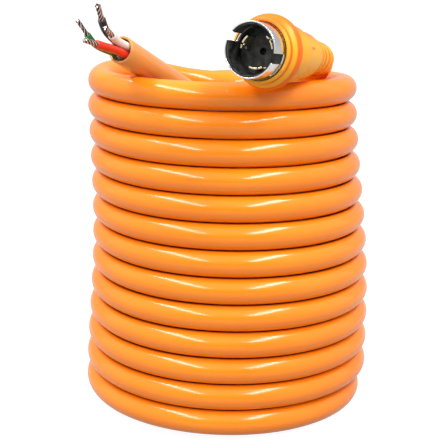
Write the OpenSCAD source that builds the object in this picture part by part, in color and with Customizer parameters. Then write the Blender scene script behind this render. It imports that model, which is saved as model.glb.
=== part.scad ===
// Shore power cord: a heavy four-wire cord wound into an upright coil, with a
// moulded locking plug on its upper end and four stripped wires on the other.
// Millimetres, +Z up. The origin is under the middle of the whole object, on
// the surface that it stands on.

/* [Cord] */
// Diameter of the cord over its jacket
cord_d = 27; // [25:0.5:28]
// Free gap between one turn and the next
turn_gap = 0.5; // [0.5:0.1:2]
// Mean radius of the turns, to the middle of the cord
coil_r = 136; // [128:1:150]
// How far the top turn draws in and the bottom turn spreads
coil_spread = 6.5; // [0:0.5:10]
// Sideways sway of the stack of turns
coil_sway = 3.1; // [0:0.1:6]
// Turns from the front of the top turn down to the floor
coil_turns = 12.25; // [12:0.05:12.5]

/* [Stripped end] */
// Inside diameter of the jacket where it is cut open
jacket_bore_d = 22.2; // [21.6:0.1:23.4]
// Length of the cut jacket that shows its bore
jacket_end_l = 30; // [20:1:40]
// Diameter of a live or neutral wire over its insulation
wire_d = 7.8; // [6.6:0.1:7.8]
// Diameter of the ground wire over its insulation
ground_wire_d = 6.4; // [5:0.1:6.8]
// Diameter of the bare strands of a live or neutral wire
strand_d = 5.3; // [4:0.1:5.6]
// Diameter of the bare strands of the ground wire
ground_strand_d = 4.1; // [3:0.1:4.4]
// Length of bare strands on each wire
strip_l = 19; // [10:1:24]

/* [Plug shell] */
// Outside diameter of the steel shell
shell_d = 51.4; // [50:0.1:54]
// Wall of the steel shell
shell_wall = 1.3; // [1:0.1:1.6]
// How far the shell stands out of the collar
shell_proud = 19.5; // [19:0.5:22]
// Wall of the black liner inside the shell
liner_wall = 1.5; // [1:0.1:2]
// Depth from the rim of the shell to the face that carries the blades
face_depth = 26.2; // [25.6:0.2:29]
// Width of each locking slot, in degrees round the shell
slot_width = 21; // [16:1:24]
// Height of the sideways run of each locking slot
slot_run_h = 3.4; // [2.5:0.1:4]
// Sideways run of each locking slot, in degrees round the shell
slot_run = 33; // [20:1:40]

/* [Blades] */
// Radius of the circle that the curved blades follow
blade_circle_r = 16; // [15.2:0.1:17]
// Thickness of a blade
blade_t = 1.8; // [1.2:0.1:2.2]
// Width of a blade, in degrees round its circle
blade_width = 48; // [40:1:56]
// Height of a blade above the face
blade_h = 13.6; // [10:0.2:16]
// Diameter of the guide hole in the middle of the face
guide_bore_d = 7; // [5:0.1:9]

/* [Plug body] */
// Diameter of the ridge round the collar
ridge_d = 69; // [65:0.5:70]
// Diameter of the straight part of the body
body_d = 55.5; // [54.5:0.1:58]
// Distance from the rim of the shell to the rear of the body
body_end = 102; // [100:0.5:108]
// Length of the strain relief behind the body
relief_l = 56; // [50:1:60]
// Number of ribs round the strain relief
rib_count = 4; // [2:1:4]
// Height of a rib
rib_h = 1.2; // [1:0.1:2]

/* [Clearances] */
// Gap between pieces that slide over each other
slide_gap = 0.1; // [0.05:0.05:0.2]
// Gap between a piece and the slot or hole that it passes through
hole_gap = 0.2; // [0.1:0.05:0.3]
// Gap round the jacket in the body and the strain relief
jacket_gap = 0.5; // [0.4:0.05:0.8]

/* [Hidden] */

jacket_colour = [0.95, 0.52, 0.10];
body_colour = [0.97, 0.60, 0.16];
black_plastic = [0.07, 0.07, 0.08];
steel_colour = [0.78, 0.79, 0.80];
brass_colour = [0.80, 0.68, 0.42];
tinned_colour = [0.62, 0.58, 0.55];

UP = [0, 0, 1];
ROUND = 96;
SMALL_ROUND = 48;

// ---------------------------------------------------------------- curves ----

function unit(v) = v / norm(v);
function smooth(u) = let (c = min(1, max(0, u))) c * c * (3 - 2 * c);
function last(list) = list[len(list) - 1];

// One point of a uniform cubic B-spline, t = 0 to 1 along span i.
function spline_spot(c, i, t) =
    ((1 - t) ^ 3 * c[i] + (3 * t ^ 3 - 6 * t ^ 2 + 4) * c[i + 1]
    + (-3 * t ^ 3 + 3 * t ^ 2 + 3 * t + 1) * c[i + 2] + t ^ 3 * c[i + 3]) / 6;
function spline(c, steps) = concat(
    [for (i = [0 : len(c) - 4], k = [0 : steps - 1]) spline_spot(c, i, k / steps)],
    [spline_spot(c, len(c) - 4, 1)]);

// Directions along a line of points; the two ends are given.
function headings(p, first, final) = [for (i = [0 : len(p) - 1])
    i == 0 ? first : i == len(p) - 1 ? final : unit(p[i + 1] - p[i - 1])];
// A side direction at each point that never twists about the line.
function carried_sides(t) = [
    for (i = 0, n = unit(UP - (UP * t[0]) * t[0]);
         i < len(t);
         i = i + 1, n = i < len(t) ? unit(n - (n * t[i]) * t[i]) : n) n];
function upright_sides(t) = [for (v = t) unit(UP - (UP * v) * v)];
function ring(p, t, n, r, count) = [for (k = [0 : count - 1])
    let (a = 360 * k / count) p + r * (cos(a) * n + sin(a) * cross(t, n))];
function rings(p, t, n, r, count) = [for (i = [0 : len(p) - 1])
    ring(p[i], t[i], n[i], is_list(r) ? r[i] : r, count)];

function path_length(p) = len(p) < 2 ? 0
    : [for (i = 1, s = norm(p[1] - p[0]); i < len(p);
            i = i + 1, s = i < len(p) ? s + norm(p[i] - p[i - 1]) : s) s][len(p) - 2];
function nearest(p, q) = min([for (a = p) min([for (b = q) norm(a - b)])]);
function bend_at(a, b, c) = let (twice_area = norm(cross(b - a, c - a)))
    norm(b - a) * norm(c - b) * norm(a - c) / max(2 * twice_area, 0.000001);
function tightest_bend(p) = min([for (i = [1 : len(p) - 2])
    bend_at(p[i - 1], p[i], p[i + 1])]);

// A solid skin over a row of rings, with flat ends.
module skin(r) {
    n = len(r[0]);
    top = (len(r) - 1) * n;
    polyhedron(
        points = [for (a = r) each a],
        faces = concat(
            [for (i = [0 : len(r) - 2], k = [0 : n - 1])
                let (a = i * n + k, b = i * n + (k + 1) % n)
                each [[a, a + n, b + n], [a, b + n, b]]],
            [for (k = [1 : n - 2]) [0, k, k + 1]],
            [for (k = [1 : n - 2]) [top, top + k + 1, top + k]]));
}

// A sleeve between two rows of rings that have the same count.
module sleeve(outer, inner) {
    n = len(outer[0]);
    rows = len(outer);
    bore = rows * n;
    top = (rows - 1) * n;
    polyhedron(
        points = concat([for (a = outer) each a], [for (a = inner) each a]),
        faces = concat(
            [for (i = [0 : rows - 2], k = [0 : n - 1])
                let (a = i * n + k, b = i * n + (k + 1) % n)
                each [[a, a + n, b + n], [a, b + n, b]]],
            [for (i = [0 : rows - 2], k = [0 : n - 1])
                let (a = bore + i * n + k, b = bore + i * n + (k + 1) % n)
                each [[a, b + n, a + n], [a, b, b + n]]],
            [for (k = [0 : n - 1]) let (j = (k + 1) % n)
                each [[k, j, bore + j], [k, bore + j, bore + k]]],
            [for (k = [0 : n - 1]) let (j = (k + 1) % n)
                each [[top + k, bore + top + j, top + j],
                      [top + k, bore + top + k, bore + top + j]]]));
}

// A solid of revolution about the plug's axis, from [radius, depth] points.
module turned(profile) {
    rotate_extrude($fn = ROUND) polygon([for (p = profile) [p[0], -p[1]]]);
}
module tube(r_out, r_in, from, to) {
    turned([[r_in, from], [r_out, from], [r_out, to], [r_in, to]]);
}
module post(r, from, to) {
    translate([0, 0, -to]) cylinder(r = r, h = to - from, $fn = SMALL_ROUND);
}
// A piece of a round wall, from angle a to angle b.
module wall_sector(r_out, r_in, a, b, from, to) {
    rotate([0, 0, a]) rotate_extrude(angle = b - a, $fn = ROUND)
        polygon([[r_in, -from], [r_out, -from], [r_out, -to], [r_in, -to]]);
}

// ------------------------------------------------------------------ coil ----

cord_r = cord_d / 2;
foot_cut = cord_d / 10;
pitch = cord_d + turn_gap;
floor_z = cord_r - foot_cut;
top_z = floor_z + coil_turns * pitch;
front_r = coil_r - coil_spread;
inner_step = cord_d + 0.75;
lean = -0.5;
sway_turns = 13;
spread_turns = 12;
drawn_in_from = 12;
drawn_in_over = 0.75;
coil_start = -0.15;
coil_end = 12.86;
rings_per_loop = 24;
coil_sides = 6;
ring_count = rings_per_loop * round(coil_end - coil_start);

function azimuth(w) = 270 + 360 * w;
function middle_x(w) = lean - coil_sway * cos(360 * w / sway_turns);
function turn_r(w) = coil_r - coil_spread * cos(180 * min(w, spread_turns + 1) / spread_turns);
function coil_r_at(w) = turn_r(w) - inner_step * smooth((w - drawn_in_from) / drawn_in_over);
// The middle of the cord, w turns after the front of the top turn.
function coil_at(w) = [
    middle_x(w) + coil_r_at(w) * cos(azimuth(w)),
    coil_r_at(w) * sin(azimuth(w)),
    top_z - pitch * min(w, coil_turns)];

coil_line = [for (i = [0 : ring_count])
    coil_at(coil_start + (coil_end - coil_start) * i / ring_count)];
tiny_turn = 0.001;
function coil_heading(w) = unit(coil_at(w + tiny_turn) - coil_at(w - tiny_turn));
coil_first = coil_heading(coil_start);
coil_final = coil_heading(coil_end);
coil_heads = headings(coil_line, coil_first, coil_final);

// ---------------------------------------------------------------- routes ----

// A frame at a cut face: x to the right, y up and z straight out of the face.
function frame_x(yaw) = [cos(yaw), -sin(yaw), 0];
function frame_z(yaw, slope) = [-sin(yaw) * cos(slope), -cos(yaw) * cos(slope), sin(slope)];
function placed(p, spot, yaw, slope) = let (z = frame_z(yaw, slope), x = frame_x(yaw))
    spot + p[0] * x + p[1] * cross(z, x) + p[2] * z;

plug_yaw = 30.1;
plug_slope = 7.2;
plug_rim = [21.6, -(front_r + 62.5), top_z + cord_r + body_d / 2 + 7.2];
function in_plug(p) = placed(p, plug_rim, plug_yaw, plug_slope);
function plug_axis(depth) = in_plug([0, 0, -depth]);

tail_yaw = 28.4;
tail_slope = 24;
tail_cut = [-99.1, -(front_r - 9.5), top_z + cord_d + 17.5];
function in_tail(p) = placed(p, tail_cut, tail_yaw, tail_slope);
function tail_axis(depth) = in_tail([0, 0, -depth]);

// Control points stand a little outside the curve that they draw.
station = 20;
spline_swell = 3 / (2 + cos(station));
// A control point against the wall of turns: direction, distance in from the
// turns and height.
function by_wall(row) = let (
    w = (top_z - row[2]) / pitch,
    r = (turn_r(min(max(w, 0), coil_turns)) - row[1]) * spline_swell)
    [middle_x(w) + r * cos(row[0]), r * sin(row[0]), row[2]];
// Three control points that leave the point e straight in direction d.
function setting_off(e, d, next) = let (back = next - 2 * norm(next - e) * d)
    [back, (6 * e - back - next) / 4];

inside = cord_d + 0.9;
lead_rows = [[196, 0, 5], [176, 3, 8], [156, 9, 9], [136, 20, 4], [116, inside, -7],
             [96, inside, -12], [76, inside, -14], [56, inside, -12],
             [36, inside, -5], [16, inside, 5], [-4, 27, 16], [-24, 22, 25]];
lead_wall = [for (r = lead_rows) by_wall([r[0], r[1], top_z + r[2]])];
lead_straight = 103;
lead_step = 36;
lead_end = body_end - 25;
lead_control = concat(
    setting_off(coil_line[0], -coil_first, lead_wall[0]),
    lead_wall,
    [for (k = [1, 0, -1]) plug_axis(lead_straight + k * lead_step)]);
lead_curve = spline(lead_control, 3);
lead_line = concat(lead_curve, [plug_axis(lead_end)]);
lead_heads = headings(lead_line, -coil_first, frame_z(plug_yaw, plug_slope));

riser_rows = [[240, 28, 15], [260, 28, 23], [280, 28, 35], [300, 28, 50],
              [320, 28, 69], [340, 28, 90], [360, 28, 113]];
riser_free = [[110, 33, -210], [97, 57, -184], [80, 72, -157], [60, 78, -129],
              [40, 76, -102], [20, 65, -76], [0, 49, -53], [-18, 27, -33]];
riser_wall = [for (r = riser_rows) by_wall(r)];
riser_straight = 115;
riser_step = 35;
riser_control = concat(
    setting_off(last(coil_line), coil_final, riser_wall[0]),
    riser_wall,
    [for (p = riser_free) [p[0], p[1], top_z + p[2]]],
    [for (k = [1, 0, -1]) tail_axis(riser_straight + k * riser_step)]);
riser_line = concat(spline(riser_control, 2), [tail_axis(jacket_end_l)]);
riser_heads = headings(riser_line, coil_final, frame_z(tail_yaw, tail_slope));
lead_sides = 12;

// Wires out of the stripped end, in the frame of the cut face.
in_jacket = [-jacket_end_l, -jacket_end_l / 2];
red_pts = concat([for (z = in_jacket) [4.9, -4.1, z]],
    [[4.9, -4.1, 0], [4.5, -5.5, 15], [4.5, -8.5, 30.5], [4.5, -11, 45.5]]);
black_pts = concat([for (z = in_jacket) [-3, 5.7, z]],
    [[-3, 5.7, 0], [-3, 6.5, 14], [-2.5, 9, 28], [1, 14.5, 40.5]]);
white_pts = concat([for (z = in_jacket) [4.9, 4.1, z]],
    [[4.9, 4.1, 0], [5, 2.5, 15], [8, 3.3, 29.5]]);
green_pts = concat([for (z = in_jacket) [-5.7, -3.9, z]],
    [[-5.7, -3.9, 0], [-8.5, -5.5, 14], [-11.5, -5.5, 27], [-12.5, 0, 39.5]]);
function wire_heading(p) = unit(last(p) - p[len(p) - 2]);
function wire_tip(p) = last(p) + strip_l * wire_heading(p);

// The object is set so that its own middle stands over the origin.
flat_r = cord_r * cos(180 / coil_sides);
coil_xs = [for (p = coil_line) p[0]];
coil_ys = [for (p = coil_line) p[1]];
front_y = plug_rim[1] - shell_d / 2 * sqrt(1 - frame_z(plug_yaw, plug_slope)[1] ^ 2);
coil_x = -(max(coil_xs) + min(coil_xs)) / 2;
coil_y = -(max(coil_ys) + flat_r + front_y) / 2;

module at_coil() {
    translate([coil_x, coil_y, 0]) children();
}
module at_plug() {
    at_coil() translate(plug_rim) rotate([90 - plug_slope, 0, -plug_yaw]) children();
}
module at_tail() {
    at_coil() translate(tail_cut) rotate([90 - tail_slope, 0, -tail_yaw]) children();
}
// Takes away what would reach below the surface that the coil stands on.
module on_floor() {
    difference() {
        children();
        translate([-2 * coil_r, -2 * coil_r, -cord_d]) cube([4 * coil_r, 4 * coil_r, cord_d]);
    }
}

module coil_cord() {
    color(jacket_colour) on_floor() at_coil()
        skin(rings(coil_line, coil_heads, upright_sides(coil_heads), cord_r, coil_sides));
}
module plug_lead() {
    color(jacket_colour) at_coil()
        skin(rings(lead_line, lead_heads, carried_sides(lead_heads), cord_r, lead_sides));
}
module inner_riser() {
    color(jacket_colour) on_floor() at_coil()
        skin(rings(riser_line, riser_heads, carried_sides(riser_heads), cord_r, lead_sides));
}

// ----------------------------------------------------------- stripped end ----

module jacket_end() {
    color(jacket_colour) at_tail() tube(cord_r, jacket_bore_d / 2, 0, jacket_end_l);
}
// Each filler: x, y, radius and how far it stands out of the cut.
fillers = [[0, 0, 2.1, 2], [-7.7, 1.6, 1.7, 4], [0, -8.1, 1.9, 3]];
module cord_fillers() {
    color(black_plastic) at_tail() for (f = fillers)
        translate([f[0], f[1], 0]) post(f[2], -f[3], jacket_end_l);
}

wire_sides = 10;
wire_steps = 3;
function wire_line(p) = spline(concat([2 * p[0] - p[1]], p,
    [2 * last(p) - p[len(p) - 2]]), wire_steps);
module insulation(p, d) {
    line = wire_line(p);
    heads = headings(line, [0, 0, 1], wire_heading(p));
    at_tail() skin(rings(line, heads,
        [for (h = heads) unit([0, 1, 0] - h[1] * h)], d / 2, wire_sides));
}
// Bare strands: a straight cylinder from the end of the insulation.
module strands(p, d) {
    h = wire_heading(p);
    color(tinned_colour) at_tail() translate(last(p))
        rotate([0, acos(h[2]), atan2(h[1], h[0])])
        cylinder(d = d, h = strip_l, $fn = SMALL_ROUND);
}
module insulation_red() {
    color([0.85, 0.12, 0.06]) insulation(red_pts, wire_d);
}
module insulation_black() {
    color([0.06, 0.06, 0.06]) insulation(black_pts, wire_d);
}
module insulation_white() {
    color([0.92, 0.88, 0.84]) insulation(white_pts, wire_d);
}
module insulation_green() {
    color([0.10, 0.45, 0.14]) insulation(green_pts, ground_wire_d);
}
module strands_red() {
    strands(red_pts, strand_d);
}
module strands_black() {
    strands(black_pts, strand_d);
}
module strands_white() {
    strands(white_pts, strand_d);
}
module strands_green() {
    strands(green_pts, ground_strand_d);
}

// ------------------------------------------------------------------ plug ----
// Depths run back from the rim of the shell, along the plug's axis.

shell_r = shell_d / 2;
shell_bore_r = shell_r - shell_wall;
shell_end = shell_proud + 20;
// Behind its free part the shell steps in, and its shoulder bears on the gasket.
shell_seat_r = shell_r - 0.5;
liner_r = shell_bore_r - slide_gap;
liner_bore_r = liner_r - liner_wall;
carrier_r = shell_bore_r - hole_gap;
face_t = 7;
carrier_front = face_depth + face_t;
carrier_t = 12;
carrier_back = carrier_front + carrier_t;
collar_bore_r = shell_seat_r + slide_gap;
collar_end = shell_end + 4;
gasket_t = 1;
slot_floor = shell_proud - gasket_t;
slot_middles = [150, -16];
blade_angles = [150, 30, 270];
strap_angle = 90;
strap_t = 1.2;
strap_width = 16;

// A flat-sided wedge from the axis out through the wall, from angle a to b.
module wedge(a, b, from, to) {
    translate([0, 0, -to]) linear_extrude(to - from)
        polygon(concat([[0, 0]], [for (t = [a, (a + b) / 2, b]) shell_d * [cos(t), sin(t)]]));
}
module lock_slot(middle) {
    from = middle - slot_width / 2;
    wedge(from, from + slot_width, -1, slot_floor);
    wedge(from - slot_run, from + 1, slot_floor - slot_run_h, slot_floor);
}
module plug_shell() {
    color(steel_colour) at_plug() difference() {
        turned([[shell_bore_r, 0], [shell_r, 0], [shell_r, slot_floor],
            [shell_seat_r, slot_floor], [shell_seat_r, shell_end], [shell_bore_r, shell_end]]);
        for (m = slot_middles) lock_slot(m);
    }
}
liner_set_back = 1.5;
module shell_liner() {
    color(black_plastic) at_plug() difference() {
        tube(liner_r, liner_bore_r, liner_set_back, face_depth);
        for (m = slot_middles) lock_slot(m);
    }
}
gasket_w = 1.7;
module shell_gasket() {
    color(black_plastic) at_plug()
        tube(collar_bore_r + gasket_w, collar_bore_r, shell_proud - gasket_t, shell_proud);
}
band_r = shell_r + 3.8;
ridge_r = ridge_d / 2;
module front_collar() {
    f = shell_proud;
    color(body_colour) at_plug() turned([
        [collar_bore_r, f], [band_r - 0.9, f], [band_r, f + 0.8], [band_r, f + 4.6],
        [band_r - 0.8, f + 5.3], [band_r + 0.4, f + 6.4], [ridge_r - 2, f + 10],
        [ridge_r - 0.6, f + 12.4], [ridge_r, f + 14.6], [ridge_r, f + 17.4],
        [ridge_r - 0.8, f + 19], [ridge_r - 4, f + 21.4], [band_r - 0.2, collar_end],
        [collar_bore_r, collar_end]]);
}

body_r = body_d / 2;
body_neck_r = shell_seat_r;
pocket_r = carrier_r + slide_gap;
chamber_r = pocket_r - 1.5;
rear_r = 22.3;
clamp_l = 8;
clamp_t = 2.2;
jacket_bore_r = cord_r + jacket_gap;
clamp_r = cord_r + jacket_gap / 2 + clamp_t;
clamp_bore_r = clamp_r + hole_gap;
module plug_body() {
    color(body_colour) at_plug() turned([
        [pocket_r, shell_end], [body_neck_r, shell_end], [body_neck_r, collar_end],
        [body_r, collar_end], [body_r, body_end - 33], [body_r - 1.8, body_end - 26],
        [rear_r + 2.1, body_end - 18], [rear_r + 1, body_end - 10],
        [rear_r, body_end], [jacket_bore_r, body_end],
        [jacket_bore_r, lead_end + clamp_l], [clamp_bore_r, lead_end + clamp_l],
        [clamp_bore_r, lead_end], [chamber_r, lead_end - 14],
        [chamber_r, carrier_back], [pocket_r, carrier_back]]);
}
module cord_clamp() {
    color(steel_colour) at_plug()
        tube(clamp_r, cord_r + jacket_gap / 2, lead_end, lead_end + clamp_l);
}

// The strain relief follows the lead, from the body back along its bend.
spans = len(lead_control) - 3;
function lead_back(s) = let (u = s / lead_step, i = min(floor(u), spans - 1))
    spline_spot(lead_control, spans - 1 - i, 1 - (u - i));
rib_pitch = 11;
rib_w = 5;
ribs_start = relief_l - 1 - rib_w - (rib_count - 1) * rib_pitch;
relief_end_r = cord_r + 2.7;
function relief_r(s) = lookup(s, [[0, rear_r], [5, rear_r - 1.3], [14, rear_r - 4.3],
    [22, relief_end_r + 1.2 - rib_h], [32, relief_end_r + 0.4 - rib_h],
    [relief_l, relief_end_r - rib_h]]);
// Each station: distance behind the body and whether it is on a rib.
relief_stations = concat([[0, 0], [4, 0], [8, 0]],
    [for (i = [0 : rib_count - 1]) let (s = ribs_start + i * rib_pitch)
        each [[s, 0], [s + 0.7, 1], [s + rib_w - 0.7, 1], [s + rib_w, 0]]],
    [[relief_l, 0]]);
relief_sides = 24;
module strain_relief() {
    offset = lead_straight - body_end;
    line = [for (q = relief_stations) q[0] <= offset
        ? plug_axis(body_end + q[0]) : lead_back(q[0] - offset)];
    heads = headings(line, -frame_z(plug_yaw, plug_slope),
        unit(last(line) - lead_back(relief_l - offset - 1)));
    sides = carried_sides(heads);
    color(body_colour) at_coil() sleeve(
        rings(line, heads, sides, [for (q = relief_stations) relief_r(q[0]) + q[1] * rib_h],
            relief_sides),
        rings(line, heads, sides, jacket_bore_r, relief_sides));
}

screw_circle_r = 10.5;
screw_angles = [90, 210, 330];
screw_r = 1.5;
screw_head_r = 2.6;
screw_head_h = 2.2;
screw_end = carrier_front - 5;
module blade_slot(angle, from, to) {
    half = blade_width / 2;
    play = hole_gap / blade_circle_r * 180 / PI;
    wall_sector(blade_circle_r + blade_t / 2 + hole_gap, blade_circle_r - blade_t / 2 - hole_gap,
        angle - half - play, angle + half + play, from, to);
}
module face_insulator() {
    color(black_plastic) at_plug() difference() {
        post(carrier_r, face_depth, carrier_front);
        post(guide_bore_d / 2, face_depth - 1, carrier_front + 1);
        for (a = blade_angles) blade_slot(a, face_depth - 1, carrier_front + 1);
        for (a = screw_angles) rotate([0, 0, a]) translate([screw_circle_r, 0, 0])
            post(screw_r + hole_gap / 2, screw_end, carrier_front + 1);
    }
}
strap_out_r = chamber_r - slide_gap;
strap_bore_r = strap_out_r - strap_t;
module strap_run(r_out, r_in, from, to) {
    wall_sector(r_out, r_in, strap_angle - strap_width / 2, strap_angle + strap_width / 2,
        from, to);
}
// Room for the strap at the edge of the carrier.
module strap_way(r_in, from) {
    wall_sector(carrier_r + 1, r_in, strap_angle - strap_width / 2 - 1,
        strap_angle + strap_width / 2 + 1, from, carrier_back + 1);
}
module contact_carrier() {
    color(black_plastic) at_plug() difference() {
        post(carrier_r, carrier_front, carrier_back);
        for (a = blade_angles) blade_slot(a, carrier_front - 1, carrier_back + 1);
        for (a = screw_angles) rotate([0, 0, a]) translate([screw_circle_r, 0, 0])
            post(screw_r + hole_gap / 2, carrier_front - 1, carrier_back + 1);
        strap_way(carrier_r - strap_t - hole_gap, carrier_front - 1);
        strap_way(strap_bore_r - hole_gap, carrier_back - strap_t - hole_gap);
    }
}
module carrier_screws() {
    color(steel_colour) at_plug() for (a = screw_angles)
        rotate([0, 0, a]) translate([screw_circle_r, 0, 0]) union() {
            post(screw_r, screw_end, carrier_back + 0.1);
            post(screw_head_r, carrier_back, carrier_back + screw_head_h);
        }
}

barrel_r = 4.8;
ground_barrel_r = 4;
barrel_front = carrier_back + 4;
barrel_l = 12;
barrel_back = barrel_front + barrel_l;
barrel_floor = 2;
barrel_gap = 2;
barrel_circle_r = chamber_r - barrel_gap - barrel_r;
hook_width = 7;
hook_from = 4;
hook_h = 4.5;
module blade(angle) {
    tip = face_depth - blade_h;
    out = blade_circle_r + blade_t / 2;
    in = blade_circle_r - blade_t / 2;
    half = blade_width / 2;
    color(brass_colour) at_plug() difference() {
        wall_sector(out, in, angle - half, angle + half, tip, barrel_front);
        wall_sector(out + 1, in - 1, angle + half - hook_width, angle + half + 1,
            tip + hook_from, tip + hook_from + hook_h);
        for (e = [[-half - 1, -14], [14, half + 1]])
            wall_sector(out + 1, in - 1, angle + e[0], angle + e[1],
                carrier_back, barrel_front + 1);
    }
}
module blade_x() {
    blade(blade_angles[0]);
}
module blade_y() {
    blade(blade_angles[1]);
}
module blade_neutral() {
    blade(blade_angles[2]);
}

ground_circle_r = strap_bore_r - ground_barrel_r - hole_gap;
// A joggled strip: it bears on the shell in front and on the barrel behind.
module ground_strap() {
    color(steel_colour) at_plug() union() {
        strap_run(carrier_r, carrier_r - strap_t, carrier_front, carrier_back);
        strap_run(carrier_r, strap_bore_r, carrier_back - strap_t, carrier_back);
        strap_run(strap_out_r, strap_bore_r, carrier_back - strap_t, barrel_back);
    }
}
module barrel(circle_r, angle, r, bore_r) {
    rotate([0, 0, angle]) translate([circle_r, 0, 0]) difference() {
        post(r, barrel_front, barrel_back);
        post(bore_r, barrel_front + barrel_floor, barrel_back + 1);
    }
}
module crimp_barrels() {
    color(brass_colour) at_plug() {
        for (a = blade_angles)
            barrel(barrel_circle_r, a, barrel_r, strand_d / 2 + hole_gap);
        barrel(ground_circle_r, strap_angle, ground_barrel_r, ground_strand_d / 2 + hole_gap);
    }
}

// Wires inside the plug, from the crimp barrels to the end of the lead.
tail_steps = 8;
tail_sides = 8;
module tail(circle_r, angle, exit_r, exit_angle, d, bare_d) {
    start = [circle_r * cos(angle), circle_r * sin(angle), 0];
    exit = [exit_r * cos(exit_angle), exit_r * sin(exit_angle), 0];
    curve = [for (k = [0 : tail_steps]) let (u = k / tail_steps)
        start + (exit - start) * smooth(u)
        - UP * (barrel_back + (lead_end - barrel_back) * u)];
    line = concat([for (s = [barrel_front + barrel_floor, barrel_back]) start - UP * s], curve);
    heads = headings(line, -UP, -UP);
    at_plug() skin(rings(line, [for (i = [0 : len(line) - 1]) i < 3 ? -UP : heads[i]],
        [for (i = [0 : len(line) - 1]) let (h = i < 3 ? -UP : heads[i])
            unit([0, 1, 0] - h[1] * h)],
        [for (i = [0 : len(line) - 1]) i < 2 ? bare_d / 2 : d / 2], tail_sides));
}
module tail_red() {
    color([0.85, 0.12, 0.06]) tail(barrel_circle_r, blade_angles[1], 6.6, 10, wire_d, strand_d);
}
module tail_black() {
    color([0.06, 0.06, 0.06]) tail(barrel_circle_r, blade_angles[0], 6.6, 155, wire_d, strand_d);
}
module tail_white() {
    color([0.92, 0.88, 0.84]) tail(barrel_circle_r, blade_angles[2], 6.6, 262, wire_d, strand_d);
}
module tail_green() {
    color([0.10, 0.45, 0.14])
        tail(ground_circle_r, strap_angle, 6.9, 82, ground_wire_d, ground_strand_d);
}

// ------------------------------------------------------------- read-outs ----

union() {
    half_loop = rings_per_loop / 2;
    coil_gap = min([for (i = [0 : ring_count - half_loop])
        min([for (j = [i + half_loop : min(i + 2 * rings_per_loop, ring_count)])
            norm(coil_line[i] - coil_line[j])])]) - cord_d;
    echo(coil_gap = coil_gap);
    echo(coil_length = path_length(coil_line), lead_length = path_length(lead_line),
        riser_length = path_length(riser_line) + jacket_end_l);
    echo(lead_bend = tightest_bend(lead_line), riser_bend = tightest_bend(riser_line));
    echo(shift = [coil_x, coil_y, 0], plug_rim = in_plug([0, 0, 0]), tail_cut = tail_cut);
    echo(plug_out = frame_z(plug_yaw, plug_slope), tail_out = frame_z(tail_yaw, tail_slope));
}

coil_cord();
plug_lead();
inner_riser();
jacket_end();
cord_fillers();
insulation_red();
insulation_black();
insulation_white();
insulation_green();
strands_red();
strands_black();
strands_white();
strands_green();
plug_shell();
shell_liner();
shell_gasket();
front_collar();
plug_body();
strain_relief();
face_insulator();
contact_carrier();
carrier_screws();
blade_x();
blade_y();
blade_neutral();
ground_strap();
crimp_barrels();
tail_red();
tail_black();
tail_white();
tail_green();
cord_clamp();
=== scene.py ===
import math
import bpy
import numpy as np
from mathutils import Matrix, Vector


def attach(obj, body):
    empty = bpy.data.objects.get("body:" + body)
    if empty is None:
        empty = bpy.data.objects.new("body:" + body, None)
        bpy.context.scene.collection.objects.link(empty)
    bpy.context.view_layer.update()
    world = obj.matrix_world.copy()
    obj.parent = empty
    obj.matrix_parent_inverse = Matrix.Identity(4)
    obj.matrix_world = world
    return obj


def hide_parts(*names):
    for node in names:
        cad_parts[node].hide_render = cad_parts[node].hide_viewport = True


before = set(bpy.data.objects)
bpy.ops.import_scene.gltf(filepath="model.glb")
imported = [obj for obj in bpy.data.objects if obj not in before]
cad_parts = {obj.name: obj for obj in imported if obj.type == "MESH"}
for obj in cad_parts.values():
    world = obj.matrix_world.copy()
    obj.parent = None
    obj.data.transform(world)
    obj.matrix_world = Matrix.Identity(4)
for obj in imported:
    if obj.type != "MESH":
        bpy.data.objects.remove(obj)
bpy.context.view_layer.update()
scene = bpy.context.scene


# ---------------------------------------------------------------- camera ----
# The cord stands on a table and is looked down on from the front, from a
# little over its own height, through a moderate telephoto lens.
# The axis of the coil, placed so that the object's own middle is over the origin.
coil_middle = np.array([0.00227942, 0.0258895, 0.0])
eye_distance, eye_height = 1.15, 0.470975
eye_pitch, eye_yaw, eye_roll = (math.radians(a) for a in (13.46, -0.37, -0.70))
eye_turn = Matrix.Rotation(-eye_yaw, 3, "Z")
forward = eye_turn @ Vector((0, math.cos(eye_pitch), -math.sin(eye_pitch)))
level_up = eye_turn @ Vector((0, math.sin(eye_pitch), math.cos(eye_pitch)))
level_right = eye_turn @ Vector((1, 0, 0))
right = math.cos(eye_roll) * level_right + math.sin(eye_roll) * level_up
up = -math.sin(eye_roll) * level_right + math.cos(eye_roll) * level_up
eye = Vector((coil_middle[0], coil_middle[1] - eye_distance, eye_height))

camera = bpy.data.objects.new("camera", bpy.data.cameras.new("camera"))
scene.collection.objects.link(camera)
camera.data.lens = 87.82
camera.data.sensor_width = 36
camera.data.clip_end = 60
camera.matrix_world = Matrix.Translation(eye) @ Matrix((right, up, -forward)).transposed().to_4x4()
scene.camera = camera
scene.view_settings.view_transform = "Standard"


# ------------------------------------------------------------ shore cord ----
# One heavy round cord, 27 mm over its orange PVC jacket. It is wound by hand
# into an upright stack of turns; its upper end runs round inside the back of
# the stack to the plug, its lower end climbs up the middle to the front left.
cord_r = 0.0135
turn_gap = 0.0005
turn_pitch = 2 * cord_r + turn_gap
coil_turns = 12.25
coil_start, coil_end = -0.15, 12.86
coil_r, coil_spread, spread_turns = 0.136, 0.0065, 12
coil_lean, coil_sway, sway_turns = -0.0005, 0.0031, 13
drawn_in_from, drawn_in_over, drawn_in_by = 12, 0.75, 0.02775
foot_z = 0.8 * cord_r
top_z = foot_z + coil_turns * turn_pitch
front_r = coil_r - coil_spread


# From 0 at the start to 1 a width further on.
def fade(value, start, width):
    return np.clip((value - start) / width, 0, 1)


def eased(u):
    return u * u * (3 - 2 * u)


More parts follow.
